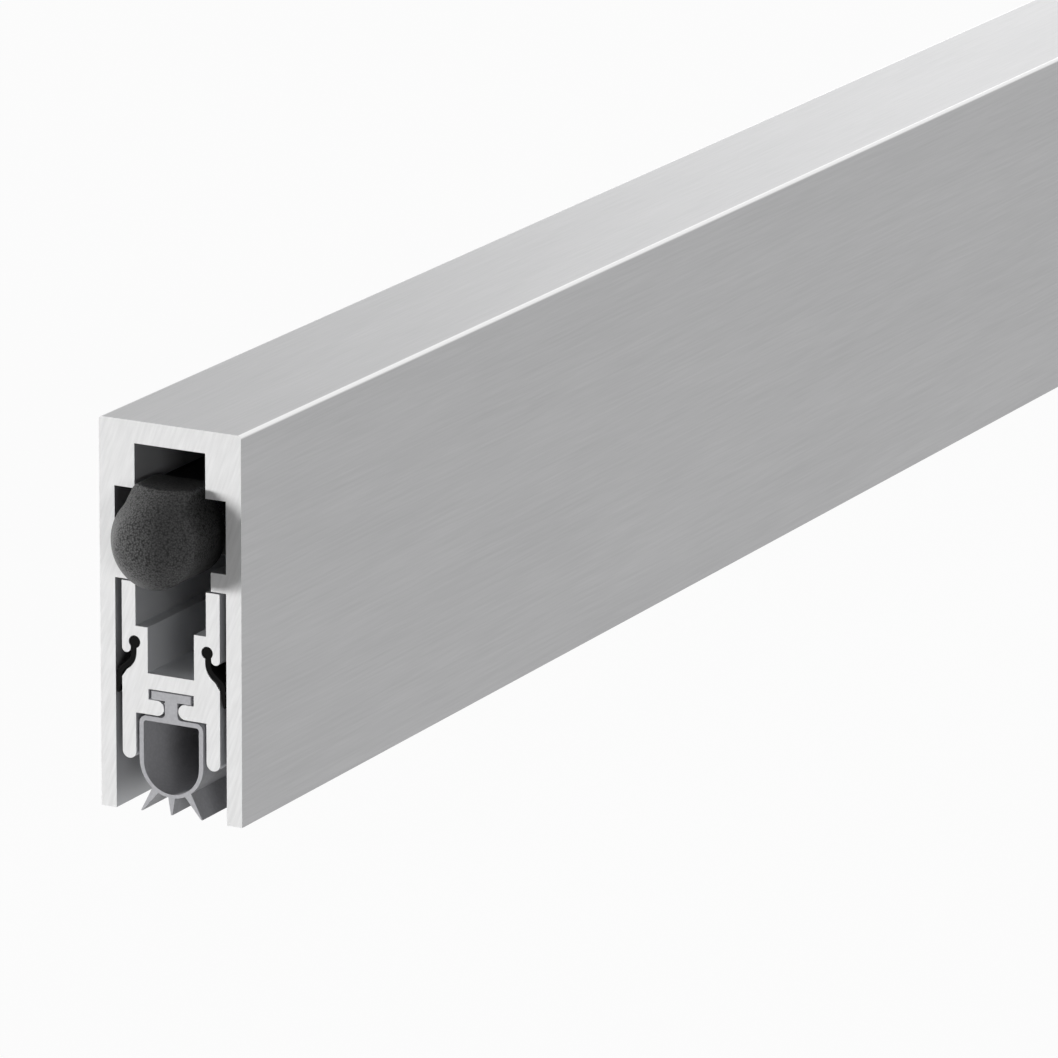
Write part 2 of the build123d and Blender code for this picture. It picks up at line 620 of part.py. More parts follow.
def return_spring():
    """Compression spring between the front slide block and the anchor block."""
    section = Pos(0, SPRING_Z) * (Circle(SPRING_RADIUS) - Circle(SPRING_RADIUS - SPRING_WIRE))
    start = FRONT_PIVOT + BLOCK_BEHIND
    return lengthwise(section, start, ANCHOR_START - start)


def pieces():
    """Every piece by its name."""
    named = {
        "housing_profile": housing_profile(),
        "carrier_profile": carrier_profile(),
        "bottom_seal": bottom_seal(),
        "lip_seal_right": lip_seal_right(),
        "lip_seal_left": mirror(lip_seal_right(), about=Plane.YZ),
        "plunger_nose": plunger_nose(),
        "adjusting_stud": adjusting_stud(),
        "lock_nut": lock_nut(),
        "plunger_body": plunger_body(),
        "push_rod": push_rod(),
        "rod_rivets": rod_rivets(),
        "guide_foot": guide_foot(),
        "guide_pin": guide_pin(),
        "foot_screws": foot_screws(),
        "anchor_block": anchor_block(),
        "anchor_screws": anchor_screws(),
        "spring_guide": spring_guide(),
        "return_spring": return_spring(),
    }
    for end, pivot in PIVOTS.items():
        named[f"slide_block_{end}"] = slide_block(pivot)
        named[f"pivot_pin_{end}"] = pivot_pin(pivot)
        named[f"link_{end}"] = link(pivot)
    for end, place in FEET.items():
        named[f"foot_{end}"] = foot(place)
        named[f"foot_pin_{end}"] = foot_pin(place)
    return named


os.makedirs("parts", exist_ok=True)
for name, shape in pieces().items():
    export_step(in_frame(shape), f"parts/{name}.step")
    print(f"{name}: {shape.volume:.1f} mm3")
print(f"link angle {LINK_ANGLE:.3f} deg, reach {LINK_REACH:.3f}, length {LINK_LENGTH:.3f}")
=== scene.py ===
"""Automatic door bottom seal: the finishes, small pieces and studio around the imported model."""

import logging
import math
from dataclasses import dataclass
from enum import Enum
from typing import Any

import bmesh
import bpy
from mathutils import Matrix, Vector


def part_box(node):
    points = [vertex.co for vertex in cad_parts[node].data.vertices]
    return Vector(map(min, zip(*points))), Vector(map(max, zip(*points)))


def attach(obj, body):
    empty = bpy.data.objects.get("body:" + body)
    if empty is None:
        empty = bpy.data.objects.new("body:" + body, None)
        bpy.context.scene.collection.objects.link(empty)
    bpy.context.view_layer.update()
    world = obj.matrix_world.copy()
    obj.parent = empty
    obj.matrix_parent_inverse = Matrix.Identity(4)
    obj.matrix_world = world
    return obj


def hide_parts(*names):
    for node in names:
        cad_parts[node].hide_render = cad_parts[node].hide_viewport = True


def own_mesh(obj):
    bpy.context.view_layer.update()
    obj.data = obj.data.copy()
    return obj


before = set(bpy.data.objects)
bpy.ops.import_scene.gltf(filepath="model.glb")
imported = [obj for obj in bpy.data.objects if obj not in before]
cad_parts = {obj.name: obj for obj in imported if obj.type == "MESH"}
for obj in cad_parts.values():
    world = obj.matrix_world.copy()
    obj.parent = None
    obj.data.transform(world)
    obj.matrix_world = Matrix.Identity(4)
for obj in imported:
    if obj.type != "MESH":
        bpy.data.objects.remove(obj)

log = logging.getLogger("door_bottom_seal")

MM = 0.001
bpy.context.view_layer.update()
NEARLY_NONE = 0.001

# The sRGB curve of a colour's level: a straight foot, and a power above it.
FULL_LEVEL = 255
FOOT_END = 0.04045
FOOT_SLOPE = 12.92
CURVE_SHIFT = 0.055
CURVE_POWER = 2.4

# What can feed an input of a node.
Feed = bpy.types.Node | bpy.types.NodeSocket


class Body(Enum):
    """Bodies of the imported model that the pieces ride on."""

    HOUSING = "housing"
    PLUNGER = "plunger"
    CARRIER = "carrier"


class Outline(Enum):
    """Outlines that a ring of a turned or socketed piece can have."""

    ROUND = "round"
    HEXAGON = "hexagon"
    CROSS = "cross"


def linear(hex_colour: str) -> tuple[float, float, float, float]:
    """Turn an sRGB hex colour into linear values.

    Args:
        hex_colour: six hex digits after a hash sign.

    Returns:
        Red, green, blue and alpha, linear.
    """
    values = []
    for place in (1, 3, 5):
        level = int(hex_colour[place : place + 2], 16) / FULL_LEVEL
        if level <= FOOT_END:
            values.append(level / FOOT_SLOPE)
        else:
            values.append(((level + CURVE_SHIFT) / (1 + CURVE_SHIFT)) ** CURVE_POWER)
    return (*values, 1.0)


def add_node(
    tree: bpy.types.NodeTree, kind: str, inputs: dict[Any, Any] | None = None, **settings: Any
) -> bpy.types.Node:
    """Add a node with its settings, values and links.

    Args:
        tree: node tree that gets the node.
        kind: Blender's name of the node type.
        inputs: value, hex colour, output socket or node for each input, by the input's name,
            identifier or number.
        settings: properties of the node.

    Returns:
        The new node.
    """
    node = tree.nodes.new(kind)
    for setting, choice in settings.items():
        setattr(node, setting, choice)
    for key, value in (inputs or {}).items():
        if isinstance(key, int):
            socket = node.inputs[key]
        else:
            usable = (entry for entry in node.inputs if entry.enabled)
            socket = next(entry for entry in usable if key in (entry.name, entry.identifier))
        if isinstance(value, bpy.types.Node):
            value = next(output for output in value.outputs if output.enabled)
        if isinstance(value, bpy.types.NodeSocket):
            tree.links.new(value, socket)
        elif isinstance(value, str):
            socket.default_value = linear(value)
        else:
            socket.default_value = value
    return node


def new_material(name: str) -> bpy.types.Material:
    """Make a material with an empty node tree.

    Args:
        name: name of the finish.

    Returns:
        The new material.
    """
    material = bpy.data.materials.new(name)
    material.use_nodes = True
    material.node_tree.nodes.clear()
    return material


def new_piece(name: str, mesh: bpy.types.Mesh) -> bpy.types.Object:
    """Put a mesh into the scene as an object at the origin.

    Args:
        name: name of the piece.
        mesh: mesh with its place in its vertices, in metres.

    Returns:
        The new object.
    """
    mesh.name = name
    piece = bpy.data.objects.new(name, mesh)
    bpy.context.collection.objects.link(piece)
    return piece


@dataclass(frozen=True)
class Marks:
    """Uneven marks that its making leaves on metal.

    The size is that of one mark along X, Y and Z, in millimetres. Each layer adds finer marks, and
    the raggedness is how strong the finer ones are.
    """

    size: tuple[float, float, float]
    layers: float = 3.0
    raggedness: float = 0.5

    def draw(self, tree: bpy.types.NodeTree, place: Feed) -> bpy.types.Node:
        """Add the marks to a material.

        Args:
            tree: node tree that gets the nodes.
            place: socket or node that gives the place on the surface.

        Returns:
            The node of the finished pattern.
        """
        scale = tuple(1 / (side * MM) for side in self.size)
        at = add_node(tree, "ShaderNodeMapping", {"Vector": place, "Scale": scale})
        pattern = {"Scale": 1.0, "Detail": self.layers, "Roughness": self.raggedness}
        return add_node(tree, "ShaderNodeTexNoise", {"Vector": at, **pattern})


@dataclass(frozen=True)
class ExtrudedAluminium:
    """Extruded aluminium: brushed on the outer faces, plain inside, with bare sawn ends.

    Past `outside_from` across, and within `top_from` of the top, the faces are brushed, and along
    their long top edges a painted highlight stands in for the light that the rounded edges catch.
    The lengthwise lines are a faint relief on every face but the ends, and change the tone only
    where it is brushed. The sawn ends have faint slanting marks.
    Sizes are in millimetres. The real lines are about 0.05 mm wide and are drawn coarser, so that
    they show.
    """

    name: str
    inside: str
    inside_metal: float
    inside_roughness: float
    outside_from: float = 6.0
    top_from: float = 1.0
    face: str = "#A5A5A6"
    face_light: str = "#B0B0B1"
    roughness: float = 0.42
    stretched_gloss: float = 0.3
    # Painted highlight along the long top edges, where their rounding would catch light, and its
    # width.
    edge: str = "#EEEEEE"
    painted_highlight_width: float = 0.36
    sawn: str = "#EDEDED"
    sawn_mark: str = "#E2E2E2"
    sawn_metal: float = 0.02
    sawn_roughness: float = 0.35
    end_facing: float = 0.9
    line: Marks = Marks((0.22, 9.0, 0.22), raggedness=0.6)
    line_share: float = 0.65
    cloud: Marks = Marks((5.0, 40.0, 5.0), raggedness=0.6)
    saw_mark: Marks = Marks((0.3, 1000.0, 3.0), layers=2.0, raggedness=0.55)
    saw_lean: float = 20.0
    mark_limits: tuple[float, float] = (0.3, 0.7)
    mark_strength: float = 0.6
    mark_depth: float = 0.003

    def past(
        self, tree: bpy.types.NodeTree, place: Feed, limit: float, soft: float = 0.01
    ) -> bpy.types.Node:
        """Where a place is past a limit, in millimetres.

        Args:
            tree: node tree that gets the node.
            place: socket or node of the place, in metres.
            limit: place where the change ends.
            soft: distance over which it changes.

        Returns:
            A node that goes from 0 to 1.
        """
        ends = {"From Min": (limit - soft) * MM, "From Max": limit * MM}
        return add_node(tree, "ShaderNodeMapRange", {"Value": place, **ends})

    def contrast(self, tree: bpy.types.NodeTree, pattern: Feed) -> bpy.types.Node:
        """Spread a pattern's middle tones from 0 to 1.

        Args:
            tree: node tree that gets the node.
            pattern: socket or node of the pattern.

        Returns:
            A node that goes from 0 to 1.
        """
        darkest, lightest = self.mark_limits
        ends = {"From Min": darkest, "From Max": lightest}
        return add_node(tree, "ShaderNodeMapRange", {"Value": pattern, **ends})

    def brushed(self, tree: bpy.types.NodeTree, place: Feed, lines: Feed) -> bpy.types.Node:
        """Grey of the brushed faces, with fine lines and slow changes of tone.

        Args:
            tree: node tree that gets the nodes.
            place: socket of the object's coordinates.
            lines: pattern of the fine lines.

        Returns:
            The colour.
        """
        fine = add_node(
            tree, "ShaderNodeMath", {0: lines, 1: self.line_share}, operation="MULTIPLY"
        )
        parts = {0: self.cloud.draw(tree, place), 1: 1 - self.line_share, 2: fine}
        shade = add_node(tree, "ShaderNodeMath", parts, operation="MULTIPLY_ADD")
        tones = {"Factor": self.contrast(tree, shade), "A": self.face, "B": self.face_light}
        return add_node(tree, "ShaderNodeMix", tones, data_type="RGBA")

    def sawn_end(self, tree: bpy.types.NodeTree, saw: Feed) -> bpy.types.Node:
        """Pale grey of the sawn ends, with the saw's marks.

        Args:
            tree: node tree that gets the nodes.
            saw: pattern of the saw's marks.

        Returns:
            The colour.
        """
        tones = {"Factor": self.contrast(tree, saw), "A": self.sawn_mark, "B": self.sawn}
        return add_node(tree, "ShaderNodeMix", tones, data_type="RGBA")

    def masks(self, tree: bpy.types.NodeTree, place: bpy.types.Node) -> tuple[bpy.types.Node, ...]:
        """Where the outer faces, the painted edge highlight and the sawn ends are.

        Args:
            tree: node tree that gets the nodes.
            place: texture coordinates.

        Returns:
            A node for the outer faces, one for the painted edge highlight and one for the ends.
        """
        at = add_node(tree, "ShaderNodeSeparateXYZ", {0: place.outputs["Object"]}).outputs
        across = add_node(tree, "ShaderNodeMath", {0: at["X"]}, operation="ABSOLUTE")
        sides = self.past(tree, across, self.outside_from)
        top = self.past(tree, at["Z"], -self.top_from)
        outside = add_node(tree, "ShaderNodeMath", {0: sides, 1: top}, operation="MAXIMUM")
        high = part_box("housing_profile")[1] / MM
        half = self.painted_highlight_width / 2
        # Mask of the painted highlight along the housing's long top edges.
        near_side = self.past(tree, across, high.x - half, half)
        near_top = self.past(tree, at["Z"], high.z - half, half)
        edge = add_node(tree, "ShaderNodeMath", {0: near_side, 1: near_top}, operation="MULTIPLY")
        normal = add_node(tree, "ShaderNodeSeparateXYZ", {0: place.outputs["Normal"]}).outputs
        facing = add_node(tree, "ShaderNodeMath", {0: normal["Y"]}, operation="ABSOLUTE")
        end = add_node(
            tree, "ShaderNodeMath", {0: facing, 1: self.end_facing}, operation="GREATER_THAN"
        )
        return outside, edge, end

    def by_zone(
        self,
        tree: bpy.types.NodeTree,
        kind: str,
        outside: Feed,
        end: Feed,
        choices: tuple[Any, Any, Any],
    ) -> bpy.types.Node:
        """Give the inner faces, the outer faces and the sawn ends each their own.

        Args:
            tree: node tree that gets the nodes.
            kind: Blender's name of a colour or a number.
            outside: mask of the outer faces.
            end: mask of the sawn ends.
            choices: what the inner faces, the outer faces and the sawn ends get.

        Returns:
            The colour or number over the whole surface.
        """
        inner, outer, sawn = choices
        walls = add_node(
            tree, "ShaderNodeMix", {"Factor": outside, "A": inner, "B": outer}, data_type=kind
        )
        return add_node(
            tree, "ShaderNodeMix", {"Factor": end, "A": walls, "B": sawn}, data_type=kind
        )

    def build(self) -> bpy.types.Material:
        """Build the material.

        Returns:
            The finished material.
        """
        material = new_material(self.name)
        tree = material.node_tree
        place = add_node(tree, "ShaderNodeTexCoord")
        spot = place.outputs["Object"]
        outside, edge, end = self.masks(tree, place)
        lines = self.line.draw(tree, spot)
        lean = {"Vector": spot, "Rotation": (0, -math.radians(self.saw_lean), 0)}
        saw = self.saw_mark.draw(tree, add_node(tree, "ShaderNodeMapping", lean))
        # The long top edges get a painted highlight over the brushed grey.
        tones = {"Factor": edge, "A": self.brushed(tree, spot, lines), "B": self.edge}
        faces = add_node(tree, "ShaderNodeMix", tones, data_type="RGBA")
        colours = (self.inside, faces, self.sawn_end(tree, saw))
        metals = (self.inside_metal, 1.0, self.sawn_metal)
        roughnesses = (self.inside_roughness, self.roughness, self.sawn_roughness)
        marks = add_node(
            tree, "ShaderNodeMix", {"Factor": end, "A": lines, "B": saw}, data_type="FLOAT"
        )
        bump = {"Strength": self.mark_strength, "Distance": self.mark_depth * MM, "Height": marks}
        shader = add_node(
            tree,
            "ShaderNodeBsdfPrincipled",
            {
                "Base Color": self.by_zone(tree, "RGBA", outside, end, colours),
                "Metallic": self.by_zone(tree, "FLOAT", outside, end, metals),
                "Roughness": self.by_zone(tree, "FLOAT", outside, end, roughnesses),
                "Anisotropic": self.stretched_gloss,
                "Tangent": add_node(tree, "ShaderNodeTangent", direction_type="RADIAL", axis="Y"),
                "Normal": add_node(tree, "ShaderNodeBump", bump),
            },
        )
        add_node(tree, "ShaderNodeOutputMaterial", {"Surface": shader})
        return material


@dataclass(frozen=True)
class Moulded:
    """Matt plastic or rubber with a pebbled grain, painted lighter on tops and darker in hollows.

    The tone goes from dark to light between the two `painted_hollow_shade` depths of a hollow, as
    shares of the grain's size: painted shade in the hollows and painted light on the tops. Sizes
    are in millimetres.
    """

    name: str
    dark: str
    light: str
    roughness: float
    gloss: float
    grain: float
    grain_depth: float
    painted_hollow_shade: tuple[float, float] = (0.75, 0.15)

    def build(self) -> bpy.types.Material:
        """Build the material.

        Returns:
            The finished material.
        """
        material = new_material(self.name)
        tree = material.node_tree
        place = add_node(tree, "ShaderNodeTexCoord").outputs["Object"]
        pebbles = {"Vector": place, "Scale": 1 / (self.grain * MM)}
        hollow = add_node(tree, "ShaderNodeTexVoronoi", pebbles).outputs["Distance"]
        # Painted shade in the grain's hollows and painted light on its tops, between the dark and
        # light tones.
        deep, shallow = self.painted_hollow_shade
        limits = {"From Min": deep, "From Max": shallow}
        tone = add_node(tree, "ShaderNodeMapRange", {"Value": hollow, **limits})
        tones = {"Factor": tone, "A": self.dark, "B": self.light}
        bump = {"Strength": 1.0, "Distance": self.grain_depth * MM, "Height": hollow}
        shader = add_node(
            tree,
            "ShaderNodeBsdfPrincipled",
            {
                "Base Color": add_node(tree, "ShaderNodeMix", tones, data_type="RGBA"),
                "Roughness": self.roughness,
                "Specular IOR Level": self.gloss,
                "Normal": add_node(tree, "ShaderNodeBump", bump, invert=True),
            },
        )
        add_node(tree, "ShaderNodeOutputMaterial", {"Surface": shader})
        return material


@dataclass(frozen=True)
class DrawnMetal:
    """Plated or drawn steel and cast zinc, with lines or grain left by how it was made.

    The marks make it lighter and rougher where they stand out. Sizes are in millimetres.
    """

    name: str
    dark: str
    light: str
    roughness: float
    marks: Marks
    mark_depth: float
    mark_strength: float = 0.7
    unevenness: float = 0.08

    def build(self) -> bpy.types.Material:
        """Build the material.

        Returns:
            The finished material.
        """
        material = new_material(self.name)
        tree = material.node_tree
        place = add_node(tree, "ShaderNodeTexCoord").outputs["Object"]
        marks = self.marks.draw(tree, place)
        tones = {"Factor": marks, "A": self.dark, "B": self.light}
        smoothest = self.roughness - self.unevenness
        roughest = self.roughness + self.unevenness
        rough = {"Value": marks, "To Min": smoothest, "To Max": roughest}
        bump = {"Strength": self.mark_strength, "Distance": self.mark_depth * MM, "Height": marks}
        shader = add_node(
            tree,
            "ShaderNodeBsdfPrincipled",
            {
                "Base Color": add_node(tree, "ShaderNodeMix", tones, data_type="RGBA"),
                "Metallic": 1.0,
                "Roughness": add_node(tree, "ShaderNodeMapRange", rough),
                "Normal": add_node(tree, "ShaderNodeBump", bump),
            },
        )
        add_node(tree, "ShaderNodeOutputMaterial", {"Surface": shader})
        return material


Finish = ExtrudedAluminium | Moulded | DrawnMetal

# Anodised aluminium, extruded and then brushed lengthwise: a mid grey metal with very fine lines
# and a soft shine, a painted highlight along its long top edges, and its walls inside plainer, with
# a lighter tone that is painted light standing in for light reaching inside.
HOUSING_METAL = ExtrudedAluminium(
    # Its lighter inner tone is painted light, standing in for light that reaches inside the
    # profile.
    "satin_anodised_aluminium", inside="#BBBCBE", inside_metal=0.6, inside_roughness=0.5
)
# Aluminium as the extrusion press leaves it: pale, dull and plain, with only faint die lines.
CARRIER_METAL = ExtrudedAluminium(
    "mill_finish_aluminium",
    inside="#D8D9DB",
    inside_metal=0.65,
    inside_roughness=0.6,
    outside_from=20.0,
)
# Nylon moulded in a spark-eroded mould: black, dry and pebbled, painted paler on the pebbles'
# tops and darker in their hollows, as painted light and shade. The real grain is about 0.1 mm
# wide and is drawn coarser, so that it shows.
BLACK_NYLON = Moulded(
    "grained_black_nylon",
    dark="#060606",
    light="#606060",
    roughness=0.4,
    gloss=0.28,
    grain=0.17,
    grain_depth=0.045,
    painted_hollow_shade=(0.85, 0.1),
)
# Nylon from a smooth mould: near black and even, with a low shine.
BLOCK_NYLON = Moulded(
    "moulded_black_nylon",
    dark="#161616",
    light="#1C1C1C",
    roughness=0.45,
    gloss=0.35,
    grain=0.1,
    grain_depth=0.01,
)
# Extruded rubber: the deepest black, with hardly any shine.
LIP_RUBBER = Moulded(
    "black_rubber",
    dark="#030303",
    light="#090909",
    roughness=0.6,
    gloss=0.12,
    grain=0.12,
    grain_depth=0.01,
)
# Extruded silicone: an even mid grey, smooth and matt.
SILICONE = Moulded(
    "grey_silicone",
    dark="#ABABAE",
    light="#B4B4B7",
    roughness=0.55,
    gloss=0.3,
    grain=0.3,
    grain_depth=0.005,
)
# Zinc alloy as the die leaves it: dull grey, with a fine grain that has no direction.
CAST_ZINC = DrawnMetal(
    "cast_zinc_alloy",
    dark="#9A9B9E",
    light="#B4B5B8",
    roughness=0.45,
    marks=Marks((0.3, 0.3, 0.3)),
    mark_depth=0.01,
)
# Rolled steel strip, zinc-plated: pale and bright, with long fine lines.
PLATED_BAR = DrawnMetal(
    "zinc_plated_strip_steel",
    dark="#A9ABB0",
    light="#C2C4C8",
    roughness=0.3,
    marks=Marks((0.12, 3.6, 0.12)),
    mark_depth=0.004,
)
# Turned steel, zinc-plated: pale and the brightest, with short faint marks.
PLATED_SMALL = DrawnMetal(
    "bright_zinc_plated_steel",
    dark="#A4A6AB",
    light="#C4C6CA",
    roughness=0.28,
    marks=Marks((0.15, 0.3, 0.15)),
    mark_depth=0.004,
)
# Drawn steel wire: a darker, shiny grey, with marks along the spring.
SPRING_WIRE = DrawnMetal(
    "drawn_spring_wire",
    dark="#8A8B8E",
    light="#A2A3A6",
    roughness=0.3,
    marks=Marks((0.1, 0.6, 0.1)),
    mark_depth=0.004,
)


def new_tree(name: str, **inputs: tuple[str, ...]) -> bpy.types.NodeTree:
    """Start a geometry node tree.

    Args:
        name: name of the tree.
        inputs: names of its inputs, for each kind of socket.

    Returns:
        The tree, with its inputs and its geometry output.
    """
    tree = bpy.data.node_groups.new(name, "GeometryNodeTree")
    tree.interface.new_socket("Geometry", in_out="INPUT", socket_type="NodeSocketGeometry")
    for kind, names in inputs.items():
        for entry in names:
            tree.interface.new_socket(entry, in_out="INPUT", socket_type=f"NodeSocket{kind}")
    tree.interface.new_socket("Geometry", in_out="OUTPUT", socket_type="NodeSocketGeometry")
    return tree


def close_tree(
    tree: bpy.types.NodeTree, geometry: bpy.types.Node, material: bpy.types.Material
) -> bpy.types.NodeTree:
    """End a geometry node tree with real geometry, smooth where it is round, in one finish.

    Args:
        tree: node tree that gets the nodes.
        geometry: node that gives the geometry.
        material: finish of the geometry.

    Returns:
        The tree.
    """
    smooth = add_node(
        tree, "GeometryNodeSetShadeSmooth", {"Geometry": geometry, "Shade Smooth": True}
    )
    real = add_node(tree, "GeometryNodeRealizeInstances", {"Geometry": smooth})
    dressed = add_node(tree, "GeometryNodeSetMaterial", {"Geometry": real, "Material": material})
    add_node(tree, "NodeGroupOutput", {"Geometry": dressed})
    return tree


def from_tree(
    tree: bpy.types.NodeTree,
    sizes: dict[str, Any],
    points: tuple[tuple[float, float, float], ...] = (),
) -> bpy.types.Mesh:
    """Run a geometry node tree and keep its result as a plain mesh.

    Args:
        tree: node tree to run.
        sizes: value of each named input.
        points: places that the tree starts from, in metres.

    Returns:
        The mesh that the tree gives.
    """
    start = bpy.data.meshes.new(tree.name)
    start.from_pydata(points, [], [])
    holder = bpy.data.objects.new(tree.name, start)
    bpy.context.collection.objects.link(holder)
    modifier = holder.modifiers.new(tree.name, "NODES")
    modifier.node_group = tree
    for item in tree.interface.items_tree:
        if item.in_out == "INPUT" and item.name in sizes:
            modifier[item.identifier] = sizes[item.name]
    graph = bpy.context.evaluated_depsgraph_get()
    mesh = bpy.data.meshes.new_from_object(holder.evaluated_get(graph))
    holder.modifiers.remove(modifier)
    bpy.data.objects.remove(holder)
    return mesh


@dataclass(frozen=True)
class Ring:
    """One ring of a turned piece: its radius, height and outline, in millimetres.

    A cross's arms are `arm` wide, as a share of its radius.
    """

    radius: float
    height: float
    outline: Outline = Outline.ROUND
    arm: float = 0.36

    def distance(self, turn: float) -> float:
        """Distance of the outline from the middle, at an angle.

        Args:
            turn: angle in radians.

        Returns:
            The distance in millimetres.
        """
        if self.outline is Outline.HEXAGON:
            sixth = math.pi / 3
            return self.radius * math.cos(sixth / 2) / math.cos(turn % sixth - sixth / 2)
        if self.outline is Outline.CROSS:
            aside = min(abs(math.sin(turn)), abs(math.cos(turn)))
            along = self.arm / 2 / max(aside, NEARLY_NONE)
            return self.radius * min(1.0, along)
        return self.radius


def threads(
    radius: float, low: float, high: float, pitch: float, depth: float
) -> tuple[Ring, ...]:
    """Rings of a threaded stretch, from its foot to its end, in millimetres.

    Args:
        radius: radius over the crests.
        low: height of the foot.
        high: height of the end.
        pitch: distance from crest to crest.
        depth: depth of the grooves.

    Returns:
        The rings.
    """
    rings = []
    for turn in range(int((high - low) / pitch)):
        foot = low + turn * pitch
        rings += [Ring(radius - depth, foot), Ring(radius, foot + pitch / 2)]
    return tuple(rings)


# Rivet: a bevelled shank and a domed head.
RIVET_RINGS = (
    Ring(0.8, 0.0),
    Ring(1.0, 0.2),
    Ring(1.0, 3.5),
    Ring(1.9, 3.5),
    Ring(1.84, 3.75),
    Ring(1.62, 4.0),
    Ring(1.25, 4.18),
    Ring(0.75, 4.28),
    Ring(0.3, 4.3),
)
# Grub screw: a hexagon socket that opens downwards, a thread and a cup point.
GRUB_RINGS = (
    Ring(0.5, 1.5, Outline.HEXAGON),
    Ring(0.85, 1.5, Outline.HEXAGON),
    Ring(0.85, 0.0, Outline.HEXAGON),
    Ring(1.2, 0.0),
    *threads(radius=1.5, low=0.25, high=7.75, pitch=0.5, depth=0.22),
    Ring(1.28, 7.75),
    Ring(0.9, 8.0),
    Ring(0.6, 7.85),
)
# Foot screw: a threaded tip, a plain shank and a pan head with a cross in it.
FOOT_SCREW_RINGS = (
    Ring(0.8, 0.0),
    *threads(radius=1.0, low=0.1, high=1.4, pitch=0.4, depth=0.16),
    Ring(1.0, 2.6),
    Ring(1.7, 2.6),
    Ring(1.7, 3.05),
    Ring(1.45, 3.38),
    Ring(1.1, 3.5),
    Ring(0.95, 3.5, Outline.CROSS),
    Ring(0.7, 2.9, Outline.CROSS),
)


@dataclass(frozen=True)
class Fasteners:
    """Like fasteners in one node: one upright turned form, repeated at each solid's place.

    Points of the node that are more than `apart` millimetres from the last ones, along the
    housing, belong to the next solid. Edges sharper than `sharp_from` degrees stay sharp.
    """

    name: str
    node: str
    body: Body
    slot: str
    rings: tuple[Ring, ...]
    steps_round: int = 48
    apart: float = 5.0
    sharp_from: float = 35.0

    def places(self) -> tuple[tuple[float, float, float], ...]:
        """Find the foot of each solid in the node.

        Returns:
            The places, in metres.
        """
        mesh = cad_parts[self.node].data
        along = sorted(vertex.co.y for vertex in mesh.vertices)
        groups = [[along[0]]]
        for place in along[1:]:
            if place - groups[-1][-1] > self.apart * MM:
                groups.append([])
            groups[-1].append(place)
        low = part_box(self.node)[0].z
        return tuple((0.0, (group[0] + group[-1]) / 2, low) for group in groups)

    def form(self) -> bpy.types.Object:
        """Build one fastener upright, with its lowest ring at its foot.

        Returns:
            An object that only the node tree uses.
        """
        shape = bmesh.new()
        turns = [math.tau * (step + 0.5) / self.steps_round for step in range(self.steps_round)]
        rows = []
        for ring in self.rings:
            row = []
            for turn in turns:
                far = ring.distance(turn) * MM
                place = (far * math.cos(turn), far * math.sin(turn), ring.height * MM)
                row.append(shape.verts.new(place))
            rows.append(row)
        for row, following in zip(rows, rows[1:]):
            for step in range(self.steps_round):
                after = (step + 1) % self.steps_round
                shape.faces.new((row[step], row[after], following[after], following[step]))
        for row, ring in ((rows[0], self.rings[0]), (rows[-1], self.rings[-1])):
            pole = shape.verts.new((0.0, 0.0, ring.height * MM))
            for step in range(self.steps_round):
                shape.faces.new((row[step], row[(step + 1) % self.steps_round], pole))
        bmesh.ops.recalc_face_normals(shape, faces=shape.faces)
        mesh = bpy.data.meshes.new(self.name)
        shape.to_mesh(mesh)
        shape.free()
        mesh.set_sharp_from_angle(angle=math.radians(self.sharp_from))
        return bpy.data.objects.new(f"{self.name}_form", mesh)

    def tree(self, material: bpy.types.Material) -> bpy.types.NodeTree:
        """Build the node tree that repeats the form.

        Args:
            material: finish of the fasteners.

        Returns:
            The geometry node tree, whose input is the form.
        """
        tree = new_tree(self.name, Object=("Form",))
        given = add_node(tree, "NodeGroupInput").outputs
        form = add_node(tree, "GeometryNodeObjectInfo", {"Object": given["Form"]})
        copies = {"Points": given["Geometry"], "Instance": form.outputs["Geometry"]}
        repeated = add_node(tree, "GeometryNodeInstanceOnPoints", copies)
        return close_tree(tree, repeated, material)

    def build(self, material: bpy.types.Material) -> bpy.types.Object:
        """Build the fasteners in place of their plain solids.

        Args:
            material: finish of the fasteners.

        Returns:
            The finished piece.
        """
        form = self.form()
        mesh = from_tree(self.tree(material), {"Form": form}, self.places())
        piece = new_piece(self.name, mesh)
        bpy.data.objects.remove(form)
        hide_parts(self.node)
        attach(piece, self.body.value)
        return piece


